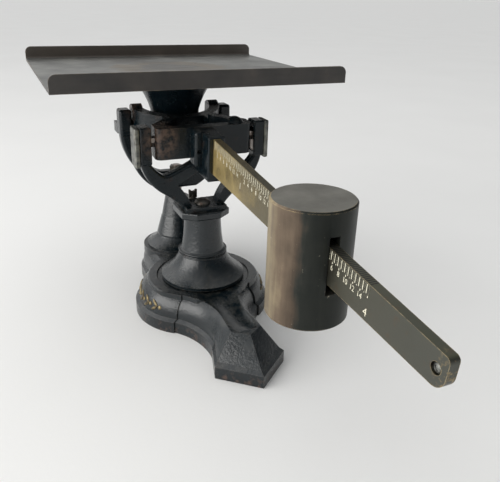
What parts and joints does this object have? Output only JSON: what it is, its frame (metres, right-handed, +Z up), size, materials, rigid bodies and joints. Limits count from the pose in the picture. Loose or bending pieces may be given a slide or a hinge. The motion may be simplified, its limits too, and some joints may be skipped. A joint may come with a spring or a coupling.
{
  "type": "brass weighing scale",
  "caption": "Counter beam scale: a goods tray on a trumpet pillar rides a rocking iron lever, balanced by a brass cylinder poise that slides along a graduated brass beam.",
  "frame": {"origin": "on the table, straight below the fulcrum knife edges", "axes": "+X to the right along the tray, +Y back from the beam's tip towards the tray, +Z up"},
  "size_m": [0.254, 0.5123, 0.2315],
  "materials": {
    "black_iron": "worn black japanned iron, satin, with brown rubbed edges",
    "tray_metal": "dark brown patina on the rims, greyer and rubbed on top",
    "beam_brass": "aged brass, golden near the lever and grey-brown towards the tip",
    "poise_brass": "brown-olive patinated brass with a bright rubbed rim",
    "hard_steel": "ground hardened steel, dull",
    "dark_screws": "dark oiled steel"
  },
  "bodies": {
    "base": {"base_casting": "black_iron", "fulcrum_column": "black_iron", "guide_column": "black_iron", "yoke": "black_iron", "yoke_cap_left": "black_iron", "yoke_cap_right": "black_iron", "fulcrum_bearing_left": "hard_steel", "fulcrum_bearing_right": "hard_steel", "yoke_screw": "dark_screws", "wing_screw": "dark_screws", "guide_screws": "dark_screws", "column_bolts": "dark_screws", "link_bracket": "black_iron", "link_pin": "hard_steel"},
    "lever": {"lever_casting": "black_iron", "fulcrum_knife_left": "hard_steel", "fulcrum_knife_right": "hard_steel", "load_knife_left": "hard_steel", "load_knife_right": "hard_steel", "beam": "beam_brass", "beam_rivets": "beam_brass"},
    "carrier": {"carrier_fork": "black_iron", "load_bearing_left": "hard_steel", "load_bearing_right": "hard_steel", "pillar": "black_iron", "pillar_bolt": "dark_screws", "pillar_nut": "dark_screws", "tray": "tray_metal", "tray_rivets": "dark_screws", "stem": "hard_steel", "stem_nut": "dark_screws", "stem_pin": "hard_steel"},
    "link": {"check_link": "black_iron"},
    "rider": {"poise_rider": "hard_steel"},
    "poise": {"poise": "poise_brass"}
  },
  "joints": [
    {"name": "lever_rock", "type": "hinge", "parent": "base", "child": "lever", "pos_m": [0, 0, 0.165], "axis": [-1, 0, 0], "range_deg": [0, 7]},
    {"name": "carrier_level", "type": "hinge", "parent": "lever", "child": "carrier", "pos_m": [0, 0.08075, 0.17136], "axis": [-1, 0, 0], "range_deg": [-7, 0]},
    {"name": "link_rock", "type": "hinge", "parent": "base", "child": "link", "pos_m": [0, 0, 0.016], "axis": [-1, 0, 0], "range_deg": [0, 7]},
    {"name": "poise_slide", "type": "slide", "parent": "lever", "child": "rider", "axis": [0, -0.9952, -0.0982], "range_m": [-0.128, 0.092]},
    {"name": "poise_hang", "type": "hinge", "parent": "rider", "child": "poise", "pos_m": [0, -0.19748, 0.16337], "axis": [-1, 0, 0], "range_deg": [-7, 0]}
  ],
  "couplings": [
    {"joint": "carrier_level", "follows": "lever_rock", "ratio": -1},
    {"joint": "link_rock", "follows": "lever_rock", "ratio": 1},
    {"joint": "poise_hang", "follows": "lever_rock", "ratio": -1}
  ]
}
